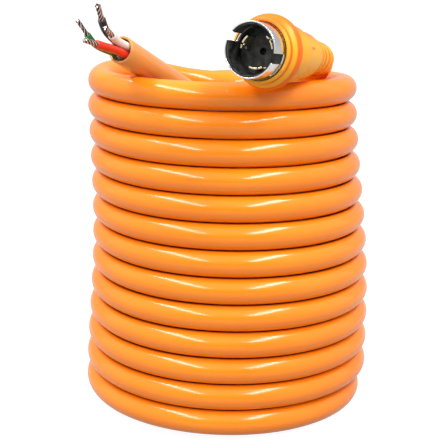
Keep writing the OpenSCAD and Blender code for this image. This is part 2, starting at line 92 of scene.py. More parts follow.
# Where the turns' middle lies and how wide they are, w turns down: the stack
# sways a little, its top draws in and its bottom spreads.
def middle_x(w):
    return coil_lean - coil_sway * np.cos(2 * np.pi * w / sway_turns)


def turn_r(w):
    return coil_r - coil_spread * np.cos(np.pi * np.minimum(w, spread_turns + 1) / spread_turns)


# The middle of the cord, w turns after the front of the top turn. On the
# table the last turn draws in and lies inside the one before.
def wound_point(w):
    w = np.asarray(w, float)
    r = turn_r(w) - drawn_in_by * eased(fade(w, drawn_in_from, drawn_in_over))
    a = np.radians(270 + 360 * w)
    height = 1 - np.minimum(w, coil_turns) / coil_turns
    return np.stack([middle_x(w) + r * np.cos(a), r * np.sin(a),
                     cord_r + (top_z - cord_r) * height], -1)


def wound_heading(w, nudge=0.001):
    step = wound_point(w + nudge) - wound_point(w - nudge)
    return step / np.linalg.norm(step)


# A cut face's directions across, up and out, as three rows.
def face_axes(yaw, slope):
    yaw, slope = math.radians(yaw), math.radians(slope)
    across = np.array([math.cos(yaw), -math.sin(yaw), 0])
    out = np.array([-math.sin(yaw) * math.cos(slope),
                    -math.cos(yaw) * math.cos(slope), math.sin(slope)])
    return np.array([across, np.cross(out, across), out])


# The plug lies on the front of the top turn, right of the middle, with its
# rim out over the edge. The cut end lies over the top turn at the left.
body_r, rim_overhang, rim_lift = 0.02775, 0.0625, 0.0072
plug_rim = np.array([0.0216, -(front_r + rim_overhang), top_z + cord_r + body_r + rim_lift])
plug_axes = face_axes(30.1, 7.2)
plug_out = plug_axes[2]
cut_set_back, cut_lift = 0.0095, 0.0175
tail_cut = np.array([-0.0991, -(front_r - cut_set_back), top_z + 2 * cord_r + cut_lift])
tail_axes = face_axes(28.4, 24)
tail_out = tail_axes[2]

# Control points are 20 degrees apart and stand a little outside the curve.
station = math.radians(20)
spline_swell = 3 / (2 + math.cos(station))


def beside_wall(azimuth, inset, z):
    w = (top_z - z) / turn_pitch
    r = (turn_r(min(max(w, 0), coil_turns)) - inset) * spline_swell
    a = math.radians(azimuth)
    return np.array([middle_x(w) + r * math.cos(a), r * math.sin(a), z])


# Two control points that let a route leave its end along a heading.
def leave_straight(end, heading, following):
    back = following - 2 * np.linalg.norm(following - end) * heading
    return [back, (6 * end - back - following) / 4]


# A cubic B-spline drawn by a row of control points.
def smooth_route(control, per_span=24):
    c, t = np.array(control), np.linspace(0, 1, per_span, endpoint=False)[:, None]
    spans = [((1 - t) ** 3 * c[i] + (3 * t ** 3 - 6 * t ** 2 + 4) * c[i + 1]
              + (-3 * t ** 3 + 3 * t ** 2 + 3 * t + 1) * c[i + 2] + t ** 3 * c[i + 3]) / 6
             for i in range(len(c) - 3)]
    return np.concatenate(spans + [[(c[-3] + 4 * c[-2] + c[-1]) / 6]])


# The same line with its points at even steps.
def evenly(points, step):
    along = np.concatenate([[0], np.cumsum(np.linalg.norm(np.diff(points, axis=0), axis=1))])
    at = np.linspace(0, along[-1], int(along[-1] / step) + 2)
    return np.stack([np.interp(at, along, points[:, k]) for k in range(3)], -1)


# Direction in degrees, distance in from the turns and height over the top
# turn, in millimetres; then a straight run into the plug.
lead_rows = [(196, 0, 5), (176, 3, 8), (156, 9, 9), (136, 20, 4), (116, 27.9, -7),
             (96, 27.9, -12), (76, 27.9, -14), (56, 27.9, -12), (36, 27.9, -5),
             (16, 27.9, 5), (-4, 27, 16), (-24, 22, 25)]
lead_straight, lead_step, lead_end = 0.103, 0.036, 0.085
lead_wall = [beside_wall(a, inset / 1000, top_z + z / 1000) for a, inset, z in lead_rows]
lead_control = leave_straight(wound_point(coil_start), -wound_heading(coil_start), lead_wall[0])
lead_control += lead_wall
lead_control += [plug_rim - plug_out * (lead_straight + k * lead_step) for k in (1, 0, -1)]
lead_curve = smooth_route(lead_control)
lead_route = np.concatenate([lead_curve, [plug_rim - plug_out * lead_end]])

# Direction and height over the table, up the inner wall; then places free
# inside the coil with their height over the top turn; then a straight end.
riser_rows = [(240, 15), (260, 23), (280, 35), (300, 50), (320, 69), (340, 90), (360, 113)]
riser_free = [(110, 33, -210), (97, 57, -184), (80, 72, -157), (60, 78, -129),
              (40, 76, -102), (20, 65, -76), (0, 49, -53), (-18, 27, -33)]
riser_inset = 0.028
riser_straight, riser_step, riser_end = 0.115, 0.035, 0.012
riser_wall = [beside_wall(a, riser_inset, z / 1000) for a, z in riser_rows]
riser_control = leave_straight(wound_point(coil_end), wound_heading(coil_end), riser_wall[0])
riser_control += riser_wall
riser_control += [np.array([x, y, top_z * 1000 + z]) / 1000 for x, y, z in riser_free]
riser_control += [tail_cut - tail_out * (riser_straight + k * riser_step) for k in (1, 0, -1)]
riser_route = np.concatenate([smooth_route(riser_control), [tail_cut - tail_out * riser_end]])

route_step, cord_sides = 0.0075, 48
wound_route = wound_point(np.linspace(coil_start, coil_end, 1400))
whole_route = np.concatenate([lead_route[::-1], wound_route[1:-1], riser_route])
cord_route = evenly(whole_route, route_step) + coil_middle


# Rings of points round a line; they are carried along it without a twist.
def swept_rings(line, radii, sides):
    line = np.asarray(line, float)
    radii = np.broadcast_to(np.asarray(radii, float), (len(line),))
    heads = np.gradient(line, axis=0)
    heads /= np.linalg.norm(heads, axis=1)[:, None]
    upright = np.array([0.0, 0.0, 1.0])
    side = upright - np.dot(upright, heads[0]) * heads[0]
    angles = np.linspace(0, 2 * np.pi, sides, endpoint=False)
    rings = []
    for p, h, r in zip(line, heads, radii):
        side = side - np.dot(side, h) * h
        side /= np.linalg.norm(side)
        over = np.cross(h, side)
        rings.append(p + r * (np.cos(angles)[:, None] * side + np.sin(angles)[:, None] * over))
    return np.array(rings)


# A skin over a row of rings. Its two ends are capped, or the last ring is
# joined to the first one where the rings go round a closed outline.
def skin_rings(rings, joined=False):
    rows, sides = rings.shape[:2]
    faces = [(i * sides + k, i * sides + (k + 1) % sides,
              (i + 1) % rows * sides + (k + 1) % sides, (i + 1) % rows * sides + k)
             for i in range(rows if joined else rows - 1) for k in range(sides)]
    if not joined:
        faces += [tuple(range(sides))[::-1], tuple(range((rows - 1) * sides, rows * sides))]
    return rings.reshape(-1, 3), faces


# Smooth shading, with sharp edges where faces meet at more than the crease.
def finish_piece(name, mesh, material, crease):
    mesh.polygons.foreach_set("use_smooth", [True] * len(mesh.polygons))
    mesh.set_sharp_from_angle(angle=math.radians(crease))
    mesh.update()
    piece = bpy.data.objects.new(name, mesh)
    scene.collection.objects.link(piece)
    mesh.materials.append(material)
    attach(piece, "root")
    return piece


def make_piece(name, points, faces, material, crease=35):
    mesh = bpy.data.meshes.new(name)
    mesh.from_pydata([tuple(p) for p in points], [], faces)
    return finish_piece(name, mesh, material, crease)


# Small steps of a node tree. Each is given numbers or sockets; the steps that
# make a node return the socket of its result.
def feed(tree, socket, value):
    if isinstance(value, bpy.types.NodeSocket):
        tree.links.new(value, socket)
    else:
        socket.default_value = value


def ramp(tree, value, low=0.0, high=1.0, at_low=0.0, at_high=1.0):
    node = tree.nodes.new("ShaderNodeMapRange")
    for label, setting in (("Value", value), ("From Min", low), ("From Max", high),
                           ("To Min", at_low), ("To Max", at_high)):
        feed(tree, node.inputs[label], setting)
    return node.outputs["Result"]


def reckon(tree, operation, *values):
    node = tree.nodes.new("ShaderNodeMath")
    node.operation = operation
    for socket, value in zip(node.inputs, values):
        feed(tree, socket, value)
    return node.outputs[0]


def noise(tree, place, scale, detail, roughness):
    node = tree.nodes.new("ShaderNodeTexNoise")
    for label, setting in (("Vector", place), ("Scale", scale), ("Detail", detail),
                           ("Roughness", roughness)):
        feed(tree, node.inputs[label], setting)
    return node.outputs["Fac"]


def blend_colors(tree, share, first, second):
    node = tree.nodes.new("ShaderNodeMix")
    node.data_type = "RGBA"
    for label, setting in (("Factor", share), ("A", first), ("B", second)):
        feed(tree, node.inputs[label], setting)
    return node.outputs["Result"]


# A shared effect: soft clouds of a second colour over the first one, uneven
# gloss and a fine raised grain, all from noise in the object's own space.
mottle = bpy.data.node_groups.new("moulded_mottle", "ShaderNodeTree")
for label, kind, value in (
        ("Color", "Color", (1, 1, 1, 1)), ("Cloud Color", "Color", (1, 1, 1, 1)),
        ("Cloud Scale", "Float", 20), ("Cloud Amount", "Float", 0.3),
        ("Gloss From", "Float", 0.3), ("Gloss To", "Float", 0.4),
        ("Grain Scale", "Float", 900), ("Grain Strength", "Float", 0.1)):
    mottle.interface.new_socket(
        name=label, in_out="INPUT", socket_type="NodeSocket" + kind).default_value = value
for label, kind in (("Color", "Color"), ("Roughness", "Float"), ("Normal", "Vector")):
    mottle.interface.new_socket(name=label, in_out="OUTPUT", socket_type="NodeSocket" + kind)
given = mottle.nodes.new("NodeGroupInput").outputs
result = mottle.nodes.new("NodeGroupOutput").inputs
place = mottle.nodes.new("ShaderNodeTexCoord").outputs["Object"]
clouds = noise(mottle, place, given["Cloud Scale"], 4, 0.6)
cloud_share = reckon(mottle, "MULTIPLY", ramp(mottle, clouds, 0.36, 0.64), given["Cloud Amount"])
feed(mottle, result["Color"], blend_colors(
    mottle, cloud_share, given["Color"], given["Cloud Color"]))
feed(mottle, result["Roughness"], ramp(
    mottle, clouds, 0.3, 0.7, given["Gloss From"], given["Gloss To"]))
raised = mottle.nodes.new("ShaderNodeBump")
raised.inputs["Distance"].default_value = 0.0001
feed(mottle, raised.inputs["Height"], noise(mottle, place, given["Grain Scale"], 2, 0.5))
feed(mottle, raised.inputs["Strength"], given["Grain Strength"])
feed(mottle, result["Normal"], raised.outputs["Normal"])


# Clouds are given as their scale and amount, gloss as the least and most
# roughness, grain as its scale and strength.
def mottled_material(name, color, cloud, clouds, gloss, grain, **sockets):
    material = bpy.data.materials.new(name)
    material.use_nodes = True
    tree = material.node_tree
    shader = tree.nodes["Principled BSDF"]
    for socket, value in sockets.items():
        shader.inputs[socket.replace("_", " ")].default_value = value
    group = tree.nodes.new("ShaderNodeGroup")
    group.node_tree = mottle
    for label, value in (("Color", (*color, 1)), ("Cloud Color", (*cloud, 1)),
                         ("Cloud Scale", clouds[0]), ("Cloud Amount", clouds[1]),
                         ("Gloss From", gloss[0]), ("Gloss To", gloss[1]),
                         ("Grain Scale", grain[0]), ("Grain Strength", grain[1])):
        group.inputs[label].default_value = value
    tree.links.new(group.outputs["Color"], shader.inputs["Base Color"])
    tree.links.new(group.outputs["Roughness"], shader.inputs["Roughness"])
    tree.links.new(group.outputs["Normal"], shader.inputs["Normal"])
    return material


# A mask is painted on a piece point by point, and tints its material.
def paint(piece, mask, values):
    layer = piece.data.attributes.new(mask, "FLOAT", "POINT")
    layer.data.foreach_set("value", np.asarray(values, float).ravel())


def tint_by(material, mask, color):
    tree = material.node_tree
    painted = tree.nodes.new("ShaderNodeAttribute")
    painted.attribute_name = mask
    base = tree.nodes["Principled BSDF"].inputs["Base Color"]
    feed(tree, base, blend_colors(
        tree, painted.outputs["Fac"], base.links[0].from_socket, (*color, 1)))


jacket = mottled_material(
    "orange_jacket", (0.98, 0.262, 0.009), (0.96, 0.222, 0.006), clouds=(9, 0.5),
    gloss=(0.13, 0.19), grain=(1400, 0.02), Specular_IOR_Level=0.45)
cord_rings = swept_rings(cord_route, cord_r, cord_sides)
shore_cord = make_piece("shore_cord", *skin_rings(cord_rings), jacket)

# Hardly any light gets down between turns that touch: the sides of the cord
# that face another turn are painted near black, as shade.
from_middle = cord_route - coil_middle
turns_down = (top_z - from_middle[:, 2]) / turn_pitch
off_wall = np.abs(np.hypot(from_middle[:, 0] - middle_x(turns_down), from_middle[:, 1])
                  - turn_r(np.clip(turns_down, 0, spread_turns + 1)))
wound = 1 - fade(off_wall, 0.003, 0.003)
turn_above = wound * fade(turns_down, 0.7, 0.2)
turn_below = wound * (1 - fade(turns_down, 12.0, 0.2))
facing_up = (cord_rings[:, :, 2] - cord_route[:, 2:]) / cord_r
hidden = np.where(facing_up > 0, turn_above[:, None], turn_below[:, None])
paint(shore_cord, "groove_shade", hidden * fade(np.abs(facing_up), 0.958, 0.03))
# Painted sheen near the cut end: a duller, paler orange.
tint_by(jacket, "painted_sheen", (0.72, 0.32, 0.085))
# Painted shade between turns: the jacket goes near black there.
tint_by(jacket, "groove_shade", (0.02, 0.004, 0.001))

# The last stretch before the stripped end gets a painted sheen: its orange is
# mixed toward a duller, paler tone.
from_end = route_step * np.arange(len(cord_route))[::-1]
painted_sheen = 1 - fade(from_end, 0.16, 0.10)
paint(shore_cord, "painted_sheen", np.repeat(painted_sheen, cord_sides))
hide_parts("coil_cord", "plug_lead", "inner_riser")


# ------------------------------------------------------- cut jacket end ----
# The cord's own orange PVC, cut square with a knife and left open. Its face
# is a little wavy, its bore shows round the wires, and it carries the same
# painted sheen as the cord's last stretch.
end_l, end_bore_r, end_sides = 0.030, 0.0111, 56


# Places are given across, up and out of the cut face.
def at_tail(points):
    return tail_cut + coil_middle + np.asarray(points, float) @ tail_axes


# A profile of radius and height, turned round the upright axis.
def revolved(profile, sides):
    angles = np.linspace(0, 2 * np.pi, sides, endpoint=False)
    return np.array([np.stack([r * np.cos(angles), r * np.sin(angles), z + 0 * angles], -1)
                     for r, z in profile])


end_profile = [
    (cord_r, -end_l), (cord_r, -0.0012), (cord_r - 0.0001, -0.0004), (cord_r - 0.0004, 0.0),
    (end_bore_r + 0.0005, 0.0), (end_bore_r + 0.0001, -0.0003), (end_bore_r, -0.0010),
    (end_bore_r, -end_l)]
# The knife wandered by less than a millimetre on its way round.
end_rings = revolved(end_profile, end_sides)
round_cut = np.linspace(0, 2 * np.pi, end_sides, endpoint=False)
end_rings[1:-1, :, 2] += 0.0005 * np.sin(round_cut + 0.6) + 0.0003 * np.sin(3 * round_cut + 1)
cut_jacket = make_piece("cut_jacket", *skin_rings(at_tail(end_rings), joined=True), jacket, 50)
# The whole cut end is under the painted sheen.
paint(cut_jacket, "painted_sheen", np.ones(len(end_profile) * end_sides))
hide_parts("jacket_end")


# ------------------------------------------------------- insulated wires ----
# Three 6 AWG wires in red, black and white and a thinner green ground wire
# come out of the cut jacket and fan out. Each is a round stranded wire in a
# smooth PVC cover, cut off clean where it is stripped.
wire_r, ground_wire_r = 0.0039, 0.0032
wire_looks = {
    "red": ((0.80, 0.035, 0.012), (0.62, 0.02, 0.01)),
    "black": ((0.004, 0.004, 0.005), (0.014, 0.014, 0.015)),
    "white": ((0.86, 0.78, 0.72), (0.80, 0.66, 0.58)),
    "green": ((0.02, 0.19, 0.04), (0.015, 0.12, 0.03)),
}
# Places across, up and out of the cut face, in millimetres.
wire_points = {
    "red": [(4.9, -4.1, -30), (4.9, -4.1, -15), (4.9, -4.1, 0), (4.5, -5.5, 15),
            (4.5, -8.5, 30.5), (4.5, -11, 45.5)],
    "black": [(-3, 5.7, -30), (-3, 5.7, -15), (-3, 5.7, 0), (-3, 6.5, 14),
              (-2.5, 9, 28), (1, 14.5, 40.5)],
    "white": [(4.9, 4.1, -30), (4.9, 4.1, -15), (4.9, 4.1, 0), (5, 2.5, 15),
              (8, 3.3, 29.5)],
    "green": [(-5.7, -3.9, -30), (-5.7, -3.9, -15), (-5.7, -3.9, 0), (-8.5, -5.5, 14),
              (-11.5, -5.5, 27), (-12.5, 0, 39.5)],
}
cover_looks = {
    tone: mottled_material(tone + "_wire_cover", color, cloud, clouds=(120, 0.5),
                           gloss=(0.28, 0.38), grain=(1500, 0.08))
    for tone, (color, cloud) in wire_looks.items()}


# Its middle line, from inside the jacket to where it is stripped.
def wire_route(tone):
    p = np.array(wire_points[tone], float) / 1000
    return smooth_route([2 * p[0] - p[1], *p, 2 * p[-1] - p[-2]], 10)


# One wire, its cover a little rounded at the cut.
def covered_wire(tone):
    radius = ground_wire_r if tone == "green" else wire_r
    route = wire_route(tone)
    tip = route[-1] - route[-2]
    tip /= np.linalg.norm(tip)
    body = np.concatenate([route[:-1], [route[-1] - tip * back for back in (0.0006, 0.0002, 0)]])
    radii = np.full(len(body), radius)
    radii[-2:] = radius - 0.00015, radius - 0.0005
    return make_piece("wire_" + tone, *skin_rings(swept_rings(at_tail(body), radii, 28)),
                      cover_looks[tone], 50)


for tone in wire_looks:
    wire = covered_wire(tone)
    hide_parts("insulation_" + tone)


# --------------------------------------------------------- bare strands ----
# Each wire is stripped for 19 mm to its tinned copper, which is laid up as a
# rope: a core with eight outer bunches round it, or six on the ground wire.
# The tin is uneven and every second outer bunch is coloured near black.
strip_l = 0.019
strand_r, ground_strand_r = 0.00265, 0.00205
rope_twist = 6.0


# Small tubes are gathered into the points and faces of one mesh.
def gathered(skins):
    points, faces = [], []
    for skin_points, skin_faces in skins:
        base = sum(len(p) for p in points)
        faces += [tuple(i + base for i in face) for face in skin_faces]
        points.append(skin_points)
    return np.concatenate(points), faces


tinned = mottled_material(
    "tinned_copper", (0.78, 0.72, 0.67), (0.36, 0.27, 0.21), clouds=(500, 0.8),
    gloss=(0.20, 0.40), grain=(3000, 0.15), Metallic=0.9)
tint_by(tinned, "dark_bunch", (0.07, 0.045, 0.035))


# The bare end of one wire. The bunches end unevenly and splay a little.
def rope(tone, seed):
    rng = np.random.default_rng(seed)
    radius, count = (ground_strand_r, 6) if tone == "green" else (strand_r, 8)
    thin = radius * (0.31 if tone == "green" else 0.27)
    start = wire_route(tone)[-1]
    heading = np.array(wire_points[tone][-1], float) - wire_points[tone][-2]
    heading /= np.linalg.norm(heading)
    side = np.cross(heading, (0, 1, 0))
    side /= np.linalg.norm(side)
    over = np.cross(heading, side)
    skins, dark_bunch = [], []
    for layer, number in ((0, 1), (1, count)):
        for j in range(number):
            reach = strip_l * (1 - rng.uniform(0, 0.10))
            u = np.linspace(-0.06, 1, 22)
            turn = 2 * np.pi * j / number + 0.4 * layer + rope_twist * u + 0.15 * np.sin(5 * u + j)
            splay = 1 + 0.06 * np.clip(u, 0, 1) ** 3
            r = layer * (radius - thin) * (1 + 0.04 * np.sin(7 * u + 2 * j)) * splay
            line = (start + heading * (u * reach)[:, None]
                    + side * (r * np.cos(turn))[:, None] + over * (r * np.sin(turn))[:, None])
            fat = thin * rng.uniform(0.94, 1.04) if layer else radius * 0.5
            skins.append(skin_rings(swept_rings(at_tail(line), fat, 9)))
            dark_bunch += [(j % 2) * layer] * len(skins[-1][0])
    bundle = make_piece("strands_" + tone + "_twisted", *gathered(skins), tinned, 60)
    paint(bundle, "dark_bunch", dark_bunch)
    return bundle


for seed, tone in enumerate(wire_looks, 3):
    strands = rope(tone, seed)
    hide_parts("strands_" + tone)


# --------------------------------------------------------- filler cords ----
# Three soft fibre cords fill the gaps between the wires, so that the jacket
# is round. They are dull grey, a little kinked, and end just past the cut.
filler_looks = mottled_material(
    "filler_cord", (0.10, 0.10, 0.10), (0.55, 0.52, 0.50), clouds=(700, 0.8),
    gloss=(0.6, 0.8), grain=(2500, 0.4))


# Where it lies across and up in the bore, its radius and how far it stands
# out of the cut face, in millimetres.
def filler(x, y, r, proud):
    z = np.linspace(-1000 * end_l, proud, 12)
    line = np.stack([x + 0.25 * np.sin(z / 3), y + 0.25 * np.cos(z / 4), z], -1) / 1000
    radii = r / 1000 * np.array([0.95] * 10 + [0.8, 0.45])
    return skin_rings(swept_rings(at_tail(line), radii, 14))


fillers = make_piece("filler_cords", *gathered(
    [filler(0, 0, 2.1, 2), filler(-7.7, 1.6, 1.7, 4), filler(0, -8.1, 1.9, 3)]), filler_looks, 60)
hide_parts("cord_fillers")


# -------------------------------------------------------- locking shell ----
# A ring drawn from steel and polished, with two L-shaped slots that lock on
# pins of the inlet. It is pressed into the grip and stands out of its front.
shell_r, shell_wall, shell_l = 0.0257, 0.0013, 0.0395
slot_middles = (150, -16)
slot_width, slot_run = 21, 33
slot_depth, slot_run_h = 0.0185, 0.0034
facet, least_facet = 3.0, 1.2


# Places are given across, up and out of the rim, so depths are below zero.
def at_plug(points):
    return plug_rim + coil_middle + np.asarray(points, float) @ plug_axes


# Whether a place on the sleeve lies in a slot: straight in from the rim, then
# a run to one side.
def slot_open(angle, depth):
    for middle in slot_middles:
        left = middle - slot_width / 2
        inside = (angle - left) % 360 < slot_width and depth < slot_depth
        run = (angle - left + slot_run) % 360 < slot_run
        if inside or run and slot_depth - slot_run_h < depth < slot_depth:
            return True
    return False


# The outer skin of a slotted sleeve. Its points lie along the edges of the
# slots, near the ends, and every few degrees and millimetres between them.
def slotted_skin(radius, front, back):
    angles = set(np.round(np.arange(-180, 180, facet), 3))
    for middle in slot_middles:
        left = middle - slot_width / 2
        edges = [left - slot_run, left, left + slot_width]
        angles = {a for a in angles
                  if all(abs((a - e + 180) % 360 - 180) > least_facet for e in edges)}
        angles |= {(e + 180) % 360 - 180 for e in edges}
    angles = sorted(angles)
    depths = sorted({front, front + 0.0008, slot_depth - slot_run_h, slot_depth, back}
                    | {d for d in np.arange(0.004, 0.015, 0.0035) if d > front + 0.001}
                    | {d for d in np.arange(0.0225, 0.040, 0.004) if d < back - 0.001})
    grid = [(radius * math.cos(math.radians(a)), radius * math.sin(math.radians(a)), -d)
            for d in depths for a in angles]
    n = len(angles)
    faces = []
    for i in range(len(depths) - 1):
        for k in range(n):
            middle = angles[k] + ((angles[(k + 1) % n] - angles[k]) % 360) / 2
            if not slot_open(middle, (depths[i] + depths[i + 1]) / 2):
                faces.append((i * n + k, (i + 1) * n + k, (i + 1) * n + (k + 1) % n,
                              i * n + (k + 1) % n))
    used = sorted({v for face in faces for v in face})
    index = {v: j for j, v in enumerate(used)}
    return [grid[v] for v in used], [tuple(index[v] for v in face) for face in faces]


# The skin is given its wall inward and the small rounding of its edges.
def slotted_ring(name, r_out, wall, front, back, material, edge_r):
    points, faces = slotted_skin(r_out, front, back)
    mesh = bpy.data.meshes.new(name)
    mesh.from_pydata([tuple(p) for p in at_plug(points)], [], faces)
    mesh.update()
    raw = bpy.data.objects.new(name + "_raw", mesh)
    scene.collection.objects.link(raw)
    thicken = raw.modifiers.new("wall", "SOLIDIFY")
    thicken.thickness = wall
    thicken.offset = -1
    thicken.use_even_offset = True
    edge = raw.modifiers.new("edge", "BEVEL")
    edge.width = edge_r
    edge.segments = 3
    edge.limit_method = "ANGLE"
    edge.angle_limit = math.radians(40)
    bpy.context.view_layer.update()
    solid = bpy.data.meshes.new_from_object(
        raw.evaluated_get(bpy.context.evaluated_depsgraph_get()))
    bpy.data.objects.remove(raw)
    solid.name = name
    solid.materials.clear()
    return finish_piece(name, solid, material, 50)


polished = mottled_material(
    "polished_steel", (0.80, 0.81, 0.82), (0.66, 0.66, 0.67), clouds=(160, 0.4),
    gloss=(0.10, 0.22), grain=(1800, 0.02), Metallic=1.0)
shell = slotted_ring("locking_shell", shell_r, shell_wall, 0.0, shell_l, polished, 0.00028)
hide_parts("plug_shell")


# ---------------------------------------------------------- black liner ----
# A thin moulded sleeve pushed into the shell, slotted as the shell is, so
# that the live blades stand in plastic. Its moulded skin is satin and mottled.
liner_r, liner_wall, face_depth = 0.0243, 0.0015, 0.0262
black_moulded = mottled_material(
    "black_moulding", (0.002, 0.002, 0.002), (0.052, 0.056, 0.050), clouds=(130, 1.0),
    gloss=(0.36, 0.60), grain=(700, 0.35), Specular_IOR_Level=0.3)
liner = slotted_ring("black_liner", liner_r, liner_wall, 0.0015, face_depth, black_moulded, 0.0003)
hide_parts("shell_liner")


# ------------------------------------------------------------ seal ring ----
# A thin ring of dull black rubber round the shell, squeezed against the
# front of the collar to keep water out.
seal_outline = [(0.0264, 0.0188), (0.0267, 0.0186), (0.0269, 0.0188), (0.0270, 0.0191),
                (0.0270, 0.0195), (0.0264, 0.0195)]


# A piece turned about the plug's axis, from its outline in radius and depth.
def turned_piece(name, profile, material, sides=120, painted_shade=None):
    rings = revolved([(r, -s) for r, s in profile], sides)
    points, faces = skin_rings(rings, joined=True)
    inside_out = [face[::-1] for face in faces]
    piece = make_piece(name, at_plug(points), inside_out, material, 40)
    if painted_shade is not None:
        around = np.linspace(0, 2 * np.pi, sides, endpoint=False)
        paint(piece, "painted_shade", [[painted_shade(s, a) for a in around] for r, s in profile])
    return piece


gasket_rubber = mottled_material(
    "gasket_rubber", (0.004, 0.004, 0.005), (0.012, 0.012, 0.012), clouds=(200, 0.5),
    gloss=(0.55, 0.7), grain=(1500, 0.2), Specular_IOR_Level=0.2)
gasket = turned_piece("seal_ring", seal_outline, gasket_rubber)
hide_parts("shell_gasket")


# ---------------------------------------------------------- grip collar ----
# The front of the grip, moulded in orange: a band at the front and a big
# rounded ridge behind it, with narrow grooves between them. Its upper side
# and its grooves are painted a deeper orange, as shade.
orange_moulded = mottled_material(
    "orange_moulding", (0.96, 0.43, 0.028), (0.93, 0.38, 0.020), clouds=(30, 0.4),
    gloss=(0.34, 0.44), grain=(900, 0.10), Specular_IOR_Level=0.25)
# Painted shade: a deeper orange on upper sides, in grooves, recesses and bores.
tint_by(orange_moulded, "painted_shade", (0.90, 0.115, 0.0))
collar_front, collar_back = 0.0195, 0.0435


# How much painted shade the orange gets: on the side that faces up, and in the grooves.
def shade_facing_up(a):
    return 0.8 * eased(fade(math.sin(a), 0.35, 0.6))


def collar_shade(s, a):
    depths = (0.0195, 0.0222, 0.0230, 0.0256, 0.0262, 0.0294, 0.0302, 0.0376, 0.0390, 0.0435)
    tones = (0.0, 0.0, 0.85, 0.85, 0.0, 0.0, 0.85, 0.85, 0.3, 0.3)
    return max(np.interp(s, depths, tones), shade_facing_up(a))


# Corners are cut again and again until the outline is round.
def rounded_profile(corners, rounds=3):
    points = [np.array(c, float) for c in corners]
    for _ in range(rounds):
        cut = [points[0]]
        for a, b in zip(points[:-1], points[1:]):
            cut += [a * 0.75 + b * 0.25, a * 0.25 + b * 0.75]
        points = cut + [points[-1]]
    return [tuple(p) for p in points]


collar_profile = [(0.0259, collar_front)] + rounded_profile([
    (0.0284, collar_front), (0.0295, 0.0198), (0.0296, 0.0220), (0.0295, 0.0244),
    (0.0288, 0.0250), (0.0288, 0.0252), (0.0310, 0.0266), (0.0329, 0.0297), (0.0342, 0.0319),
    (0.0347, 0.0354), (0.0342, 0.0386), (0.0317, 0.0406), (0.0293, collar_back)])
collar_profile += [(0.0259, collar_back)]
collar = turned_piece("grip_collar", collar_profile, orange_moulded, painted_shade=collar_shade)
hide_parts("front_collar")


# ------------------------------------------------------------ grip body ----
# The rest of the grip, a hollow moulding: a straight barrel that tapers to
# the cord. It has one small triangular recess on its right and a slanted
# parting groove lower down; neither is modelled, both are only painted in as
# shade. Its upper side is painted a deeper orange as shade too.
body_end = 0.1020


def body_shade(s, a):
    degrees = math.degrees(a)
    along = (s - 0.0765) / 0.013
    recess_shade = 0 <= along <= 1 and abs(degrees - 13 - 3 * along) < 4.2 * (1 - along)
    slant = 25 * (1 - fade(s, 0.0605, 0.0130))
    groove_shade = 0.060 < s < 0.0745 and abs(degrees - 321 + slant) < 1.8
    return 1.0 if recess_shade or groove_shade else shade_facing_up(a)


body_outer = rounded_profile([
    (0.0275, collar_back), (body_r, 0.0441), (body_r, 0.0600), (body_r, 0.0690), (0.0259, 0.0760),
    (0.0245, 0.0830), (0.0238, 0.0880), (0.0231, 0.0960), (0.0223, body_end)])
outer_r, outer_s = zip(*body_outer)
body_profile = [(0.0243, 0.0395), (0.0252, 0.0395), (0.0252, collar_back), (0.0275, collar_back)]
body_profile += [(np.interp(s, outer_s, outer_r), s) for s in np.linspace(0.0441, body_end, 66)]
body_profile += [
    (0.0140, body_end), (0.0140, 0.0850), (0.01615, 0.0850), (0.01615, 0.0770), (0.0227, 0.0630),
    (0.0227, 0.0460), (0.0243, 0.0460)]
body = turned_piece("grip_body", body_profile, orange_moulded, 200, body_shade)
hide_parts("plug_body")


# -------------------------------------------------------- strain relief ----
# A tapered sleeve of the same orange, moulded on the cord behind the body.
# It bends with the cord and has four ribs round it; the valleys between them,
# its upper side and its bore are painted a deeper orange, as shade.
relief_l, relief_step, relief_sides, relief_bore_r = 0.056, 0.0004, 64, 0.0140
rib_count, first_rib, rib_pitch, rib_h = 4, 0.0195, 0.011, 0.0012
relief_shape = ((0, 0.0223), (0.005, 0.0210), (0.014, 0.0180), (0.022, 0.0162), (0.032, 0.0154),
                (relief_l, 0.0150))

behind_rim = (lead_curve[::-1] - plug_rim) @ -plug_out
relief_line = np.concatenate([
    [plug_rim - plug_out * (body_end + s) for s in (0.0, 0.0005)],
    lead_curve[::-1][behind_rim > body_end + 0.0011][:60]])
relief_line = evenly(relief_line, relief_step)[:int(relief_l / relief_step)] + coil_middle
relief_s = np.linspace(0, relief_l, len(relief_line))
relief_radii = np.interp(relief_s, *zip(*relief_shape))
valley_shade = fade(relief_s, 0.014, 0.003)
for k in range(rib_count):
    rib = 1 - fade(np.abs(relief_s - first_rib - rib_pitch * k), 0.0014, 0.0013)
    relief_radii += rib_h * eased(rib)
    valley_shade *= 1 - rib
relief_outer = swept_rings(relief_line, relief_radii, relief_sides)
relief_inner = swept_rings(relief_line, relief_bore_r, relief_sides)
relief = make_piece("ribbed_relief", *skin_rings(
    np.concatenate([relief_outer, relief_inner[::-1]]), joined=True), orange_moulded, 60)
facing_up = (relief_outer[:, :, 2] - relief_line[:, 2:]) / relief_radii[:, None]
outer_shade = np.maximum(0.8 * fade(facing_up, 0.35, 0.6), 0.7 * valley_shade[:, None])
paint(relief, "painted_shade", np.concatenate([outer_shade, np.full(relief_inner.shape[:2], 0.7)]))
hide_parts("strain_relief")


# ----------------------------------------------- insulator and carrier ----
# Two discs moulded in the black of the liner hold the blades between them.
# The front one, with its guide hole, is the face down inside the shell.
black_discs = ("face_insulator", "contact_carrier")


# The CAD piece is shown as it is, in a finish of its own.
def dress(node, material):
    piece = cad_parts[node]
    piece.data.materials.clear()
    piece.data.materials.append(material)


for node in black_discs:
    dress(node, black_moulded)


